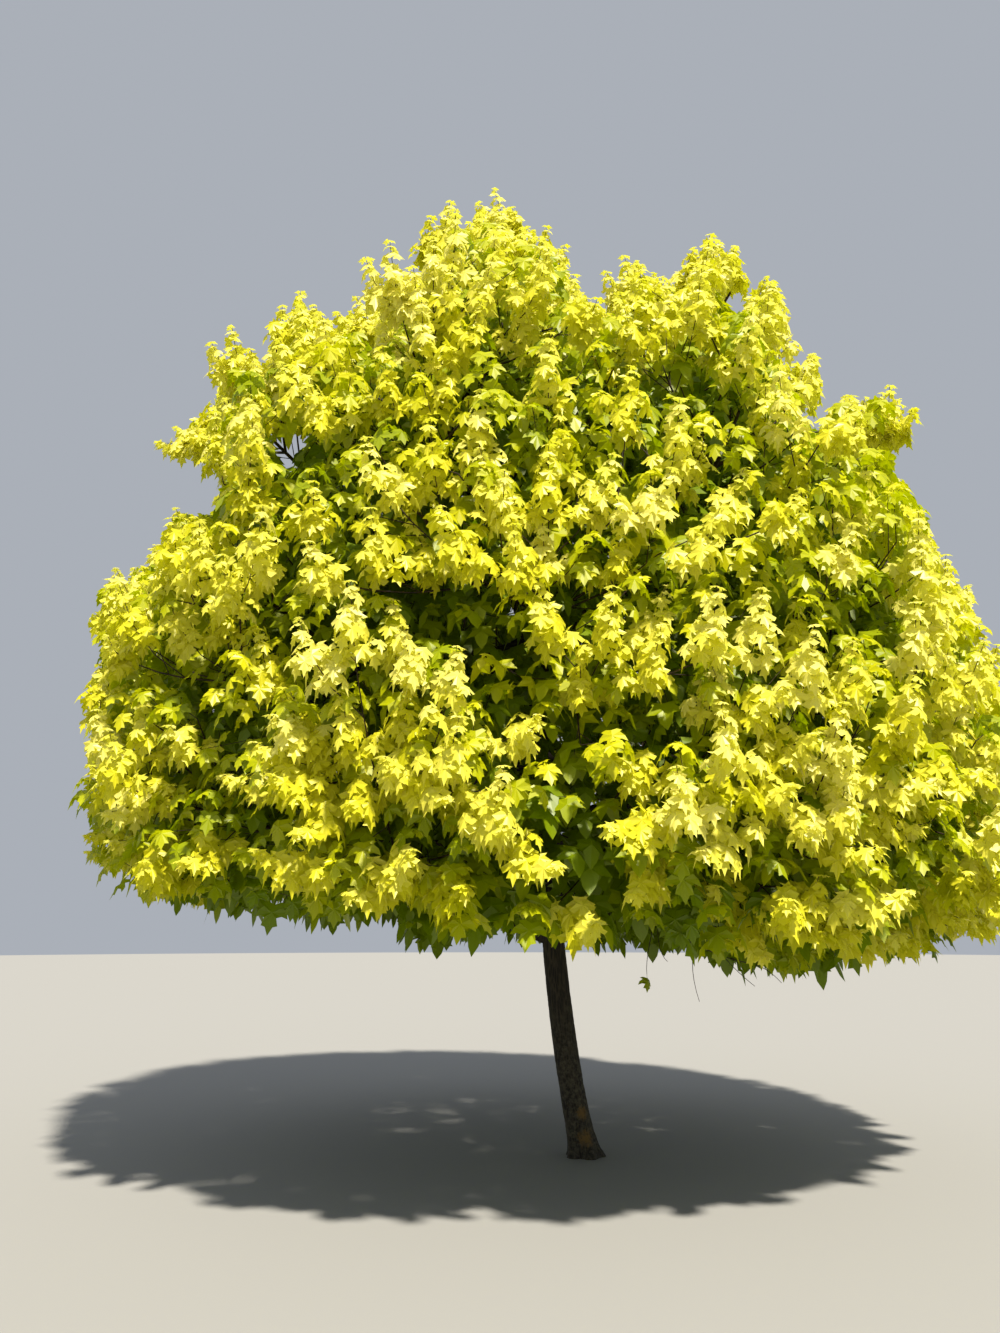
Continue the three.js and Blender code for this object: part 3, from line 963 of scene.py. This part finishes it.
# The leaves hang in opposite pairs, five-lobed blades on long stalks, thin and a little glossy. A tuft's
# are young, folded and steep, golden to pale lemon, and smaller and more level towards its tip. The plain
# shoots' leaves behind are mostly 13 to 18 cm wide, larger at the crown's foot, flatter and lime. Their
# tones carry painted light: paler at the tufts' tips, partly as painted highlight; greener deeper in and
# lower on each tuft, partly as painted shade; and greener low in the crown as painted shade.
HALF_OUTLINE = [
    (0, 0), (0.2, -0.1), (0.37, -0.06), (0.29, 0.09), (0.45, 0.2), (0.53, 0.42), (0.34, 0.36), (0.2, 0.44),
    (0.27, 0.66), (0.13, 0.7), (0, 0.95),
]
YOUNG_HALF_OUTLINE = [
    (0, 0), (0.33, -0.14), (0.25, 0.1), (0.6, 0.24), (0.43, 0.5), (0.17, 0.42), (0.28, 0.7), (0.11, 0.72),
    (0, 1.05),
]
PLAIN_HALF_OUTLINE = [(0, 0), (0.36, -0.1), (0.32, 0.1), (0.56, 0.37), (0.24, 0.46), (0.17, 0.72), (0, 0.97)]
LEAF_HEART = 0.26
GAP_LIFT = 0.05
GAP_REACH = (0.15, 0.34)
GAP_FOOT = 0.05
LEAF_FORMS = [
    dict(cup=0.35, fold=-0.22, twist=0.1),
    dict(cup=0.2, fold=0.05, twist=-0.15),
    dict(cup=0.55, fold=-0.4, twist=-0.05),
    dict(cup=0.3, fold=-0.1, twist=0.22),
]
YOUNG_LEAF_FORMS = [
    dict(cup=0.2, fold=-0.12, twist=0.15),
    dict(cup=0.1, fold=-0.35, twist=-0.2),
    dict(cup=0.35, fold=0.1, twist=-0.1),
    dict(cup=0.25, fold=-0.22, twist=0.3),
]


def leaf_template(form, half_outline):
    """A unit leaf, its stalk's end at the origin and its tip along Y. The gaps between lobes are lifted."""
    bm = bmesh.new()
    bm.faces.new([bm.verts.new((x, y, 0)) for x, y in half_outline])
    bmesh.ops.mirror(bm, geom=bm.verts[:] + bm.edges[:] + bm.faces[:], axis="X", merge_dist=1e-4)
    midrib = [edge for edge in bm.edges if len(edge.link_faces) == 2]
    bmesh.ops.dissolve_edges(bm, edges=midrib)
    heart = bmesh.ops.poke(bm, faces=bm.faces[:])["verts"][0]
    heart.co = (0, LEAF_HEART, 0)
    for vert in bm.verts:
        x, y = vert.co.x, vert.co.y - LEAF_HEART
        reach = hypot(x, y)
        in_gap = GAP_REACH[0] < reach < GAP_REACH[1] and vert.co.y > GAP_FOOT and x
        lift = GAP_LIFT if in_gap else 0
        vert.co.z = -form["cup"] * reach ** 2 + form["fold"] * abs(x) + form["twist"] * x * y + lift
    bmesh.ops.recalc_face_normals(bm, faces=bm.faces[:])
    if bm.faces[0].normal.z < 0:
        bmesh.ops.reverse_faces(bm, faces=bm.faces[:])
    return arrays_of(bm)


def ribbon():
    """A flat strip along Z, one metre long and two wide: a leaf's stalk."""
    bm = bmesh.new()
    bm.faces.new([bm.verts.new(corner) for corner in ((-1, 0, 0), (1, 0, 0), (1, 0, 1), (-1, 0, 1))])
    return arrays_of(bm)


LEAF_TEMPLATES = [leaf_template(form, HALF_OUTLINE) for form in LEAF_FORMS]
PLAIN_LEAF_TEMPLATES = [leaf_template(form, PLAIN_HALF_OUTLINE) for form in LEAF_FORMS]
YOUNG_LEAF_TEMPLATES = [leaf_template(form, YOUNG_HALF_OUTLINE) for form in YOUNG_LEAF_FORMS]
STALK = ribbon()
LEAF_WIDTH = 0.12
STALK_RADIUS = 0.0013
SHORTEST_STALK = 0.012
STALK_ARCH = (0, 0, 0.004)
STALK_LEAST = 0.8
STALK_MORE = 0.5
TUFT_NODES = [
    dict(down=0.36, size=1.0, stalk=0.055, spread=60, droop=64),
    dict(down=0.27, size=0.97, stalk=0.048, spread=58, droop=64),
    dict(down=0.2, size=0.9, stalk=0.04, spread=56, droop=62),
    dict(down=0.135, size=0.86, stalk=0.036, spread=54, droop=60),
    dict(down=0.08, size=0.78, stalk=0.029, spread=52, droop=56),
    dict(down=0.035, size=0.64, stalk=0.019, spread=46, droop=48),
    dict(down=0, size=0.42, stalk=0.008, spread=34, droop=14),
]
SPUR_NODES = [
    dict(at=0.5, size=1.0, stalk=0.04, spread=55, droop=64),
    dict(at=0.95, size=0.85, stalk=0.03, spread=48, droop=56),
]
SHOOT_NODES = [
    dict(at=0.4, size=1.08, stalk=0.09, spread=60, droop=62),
    dict(at=0.68, size=1.18, stalk=0.08, spread=56, droop=60),
    dict(at=0.9, size=1.05, stalk=0.06, spread=50, droop=52),
    dict(at=1.0, size=0.66, stalk=0.02, spread=35, droop=30),
]
OUTWARD_PULL = 0.55
LEAF_WAVER = dict(turn=0.34, size=0.14, azimuth=0.3, droop=11, roll=16)
LEAF_DRAWS = 6
LEAF_ROOM = 0.6
# The tones are partly the leaves' own spread of colour and partly lit and shaded copies: the pale,
# blue-tinged ones stand partly for painted highlight and the greener ones partly for painted shade.
LEAF_TONES = [
    ("leaf_pale", rgb(246, 236, 120)),
    ("leaf_lemon", rgb(240, 231, 84)),
    ("leaf_golden", rgb(230, 222, 50)),
    ("leaf_yellow", rgb(214, 210, 23)),
    ("leaf_lime", rgb(190, 194, 11)),
    ("leaf_green_lime", rgb(161, 173, 7)),
    ("leaf_shade", rgb(123, 143, 4)),
]
# The plain shoots behind the tufts start greener than the tufts, partly as painted shade.
TUFT_TONE = 1.1
SHOOT_TONE = 3.1
# Smaller leaves are paler and larger ones greener: partly as young and older leaves are, partly painted
# highlight at the tips and painted shade lower down.
AGE_AND_SHADE_TONE = 2.4
LOW_HEIGHT = 2.5
# Leaves near the crown's foot are made greener and darker: painted shade.
LOW_PAINTED_SHADE = 1.8
LOW_SIZE = 0.35
PLAIN_DEPTH = 0.35
# One tone greener for each such depth under the crown's skin: partly the inner leaves' own green, partly
# painted shade.
GREEN_AND_SHADE_DEPTH = 0.35
TONE_WAVER = 1
LEAF_SKIN = dict(Roughness=0.42, Specular_IOR_Level=0.55)
THROUGH = 0.42
THROUGH_TINT = (0.87, 1, 0.42)
DEEP_SIZE = 1.16


def leaf_material(name, colour):
    """A leaf's skin, part of its light passing through it and coming out greener."""
    material, tree, output = blank_material(name)
    skin = node(tree, "ShaderNodeBsdfPrincipled", Base_Color=colour, **LEAF_SKIN)
    tinted = [value * tint for value, tint in zip(colour, THROUGH_TINT)] + [1]
    glow = node(tree, "ShaderNodeBsdfTranslucent", Color=tinted)
    both = node(tree, "ShaderNodeMixShader", Fac=THROUGH)
    tree.links.new(skin.outputs["BSDF"], both.inputs[1])
    tree.links.new(glow.outputs["BSDF"], both.inputs[2])
    tree.links.new(both.outputs["Shader"], output.inputs["Surface"])
    return material


leaf_materials = [leaf_material(name, colour) for name, colour in LEAF_TONES]


def lowness(point):
    """How near a point is to the crown's foot, from 0 at LOW_HEIGHT up to 1 on the underside."""
    return min(1, max(0, (LOW_HEIGHT - point.z) / (LOW_HEIGHT - FOOT_HEIGHT)))


def leaves_of(bearer, nodes, tone, scale=1):
    """A limb's leaves, as (stalk start, stalk end, blade direction, roll, size, tone)."""
    number, branch = bearer["mass"]["number"], bearer["number"]
    curve = bearer["curve"]
    line = trunk_line(curve[2].z)
    outward = Vector((curve[2].x - line.x, curve[2].y - line.y, 0)).normalized()
    low = lowness(curve[2])
    leaves = []
    for k, spot in enumerate(nodes):
        at = spot["at"] if "at" in spot else share_below(curve, spot["down"])
        root, along = point_on(curve, at), tangent_on(curve, at)
        side = along.cross(UP).normalized()
        lift = side.cross(along)
        for half in (0, 1):
            use = USE["leaf"] + (k * 2 + half) * LEAF_DRAWS
            roll = radians(k * 90 + half * 180) + LEAF_WAVER["turn"] * waver(number, branch, use)
            away = side * cos(roll) + lift * sin(roll)
            spread = radians(spot["spread"])
            stalk = along * cos(spread) + away * sin(spread)
            size = spot["size"] * (1 + LEAF_WAVER["size"] * waver(number, branch, use + 1)) * LEAF_WIDTH
            size *= (1 + LOW_SIZE * low) * scale
            stalk_share = STALK_LEAST + STALK_MORE * chance(number, branch, use + 2)
            end = root + stalk * spot["stalk"] * stalk_share
            level = Vector((away.x, away.y, 0)) + outward * OUTWARD_PULL
            azimuth = atan2(level.y, level.x) + LEAF_WAVER["azimuth"] * waver(number, branch, use + 3)
            droop = spot["droop"] + LEAF_WAVER["droop"] * waver(number, branch, use + 4)
            direction = heading(azimuth, radians(droop))
            twist = radians(LEAF_WAVER["roll"] * waver(number, branch, use + 5))
            # Paler for small tip leaves, partly painted highlight; greener for larger lower ones, partly
            # painted shade.
            leaf_tone = tone - (1 - spot["size"]) * AGE_AND_SHADE_TONE
            if in_box(end + direction * size / 2, size * LEAF_ROOM):
                leaves.append((root, end, direction, twist, size, leaf_tone))
    return leaves


def leaf_groups(leaves, templates):
    """Leaves as groups for one piece: a group for each leaf form, and one for the longer stalks."""
    roots, stalk_ends, directions = (np.array([leaf[k][:] for leaf in leaves]) for k in range(3))
    twists, sizes, tones = (np.array([leaf[k] for leaf in leaves]) for k in range(3, 6))
    slots = np.clip(np.round(tones), 0, len(LEAF_TONES) - 1).astype(int)
    across = unit(np.cross(directions, UP))
    upper = np.cross(across, directions)
    turned = across * np.cos(twists)[:, None] + upper * np.sin(twists)[:, None]
    frames = np.stack([turned, directions, np.cross(turned, directions)], axis=1)
    forms = np.arange(len(leaves)) * 7 // 3 % len(templates)  # neighbours differ in form
    groups = []
    for form, (points, triangles) in enumerate(templates):
        chosen = forms == form
        scaled = points[None] * sizes[chosen][:, None, None]
        groups.append((scaled @ frames[chosen] + stalk_ends[chosen][:, None, :], triangles, slots[chosen]))
    long = np.linalg.norm(stalk_ends - roots, axis=1) > SHORTEST_STALK
    curves = np.stack([roots, (roots + stalk_ends) / 2 + STALK_ARCH, stalk_ends], axis=1)[long]
    points, triangles = tubes(curves, [(STALK_RADIUS, STALK_RADIUS)] * len(curves), STALK)
    groups.append((points, triangles, slots[long]))
    return groups


def tone_of(bearer, plain_tone):
    """A spray's tone: a plain one, greener inside and low in the crown, and a little by chance."""
    mass, tip = bearer["mass"], bearer["curve"][2]
    # Greener deeper under the skin: partly the inner leaves' own green, partly painted shade.
    inside = max(0, skin_depth(tip, mass["rise"])) / GREEN_AND_SHADE_DEPTH
    varied = TONE_WAVER * waver(mass["number"], bearer["number"], USE["tone"])
    # Greener low in the crown: painted shade.
    return plain_tone + inside + LOW_PAINTED_SHADE * lowness(tip) + varied


LONE_LEAF = dict(stalk=0.02, azimuth=-80, droop=62, twist=0.4, size=0.1, tone=5)
lone_root = dead_twigs[0][2]
lone_leaf = (
    lone_root, lone_root - UP * LONE_LEAF["stalk"],
    heading(radians(LONE_LEAF["azimuth"]), radians(LONE_LEAF["droop"])),
    LONE_LEAF["twist"], LONE_LEAF["size"], LONE_LEAF["tone"],
)
for ring_name in RING_NAMES:
    nodes = [mass["name"] for mass in masses if mass["ring"] == ring_name]
    young = []
    for tuft in in_ring(tufts, ring_name):
        tone = tone_of(tuft, TUFT_TONE)
        young += leaves_of(tuft, TUFT_NODES, tone)
        for spur in tuft["kids"]:
            young += leaves_of(spur, SPUR_NODES, tone)
    groups = leaf_groups(young, YOUNG_LEAF_TEMPLATES)
    joined(f"{ring_name}_tufts", groups, leaf_materials, nodes, False)
    groups = []
    for deep, templates, scale in ((False, LEAF_TEMPLATES, 1), (True, PLAIN_LEAF_TEMPLATES, DEEP_SIZE)):
        grown = []
        for shoot in in_ring(shoots, ring_name):
            if deep == (skin_depth(shoot["curve"][2], shoot["mass"]["rise"]) > PLAIN_DEPTH):
                grown += leaves_of(shoot, SHOOT_NODES, tone_of(shoot, SHOOT_TONE), scale=scale)
        if ring_name == "skirt" and not deep:
            grown.append(lone_leaf)
        groups += leaf_groups(grown, templates)
    joined(f"{ring_name}_leaves", groups, leaf_materials, nodes, False)

# A plain pale floor, a high soft key light from behind the camera and a little right, a pale room, and the
# camera, which stands at the eye that the crown's edges are seen from.
FLOOR_RADIUS = 60
FLOOR_SIDES = 96
FLOOR_COLOUR = (0.3, 0.3, 0.292, 1)
FLOOR_ROUGHNESS = 0.9
SUN_AZIMUTH = 20
SUN_HEIGHT = 54
SUN_WIDTH = 3
SUN_ENERGY = 7.4
SUN_COLOUR = (1, 0.925, 0.79)
ROOM_COLOUR = (0.84, 0.9, 1, 1)
ROOM_STRENGTH = 0.48
CAMERA_TILT = 13.5
PHOTO_HEIGHT = 1333
FOCAL_PIXELS = 1078.5
SENSOR = 36


def make_floor():
    """The floor, which is staged and no part of the tree."""
    bm = bmesh.new()
    bmesh.ops.create_circle(bm, cap_ends=True, segments=FLOOR_SIDES, radius=FLOOR_RADIUS)
    mesh = bpy.data.meshes.new("floor")
    bm.to_mesh(mesh)
    bm.free()
    floor_piece = bpy.data.objects.new("floor", mesh)
    bpy.context.scene.collection.objects.link(floor_piece)
    material, tree, output = blank_material("floor")
    shader = node(tree, "ShaderNodeBsdfPrincipled", Base_Color=FLOOR_COLOUR, Roughness=FLOOR_ROUGHNESS)
    tree.links.new(shader.outputs["BSDF"], output.inputs["Surface"])
    mesh.materials.append(material)


make_floor()
sun = bpy.data.objects.new("sun", bpy.data.lights.new("sun", "SUN"))
sun.data.energy = SUN_ENERGY
sun.data.angle = radians(SUN_WIDTH)
sun.data.color = SUN_COLOUR
sun.rotation_euler = (radians(90 - SUN_HEIGHT), 0, radians(SUN_AZIMUTH))
bpy.context.scene.collection.objects.link(sun)

world = bpy.data.worlds.new("room")
bpy.context.scene.world = world
world.use_nodes = True
backdrop = world.node_tree.nodes["Background"]
backdrop.inputs["Color"].default_value = ROOM_COLOUR
backdrop.inputs["Strength"].default_value = ROOM_STRENGTH
bpy.context.scene.view_settings.view_transform = "Standard"

camera = bpy.data.objects.new("camera", bpy.data.cameras.new("camera"))
camera.data.sensor_width = SENSOR
camera.data.lens = SENSOR * FOCAL_PIXELS / PHOTO_HEIGHT
camera.location = EYE
camera.rotation_euler = (radians(90 + CAMERA_TILT), 0, 0)
bpy.context.scene.collection.objects.link(camera)
bpy.context.scene.camera = camera
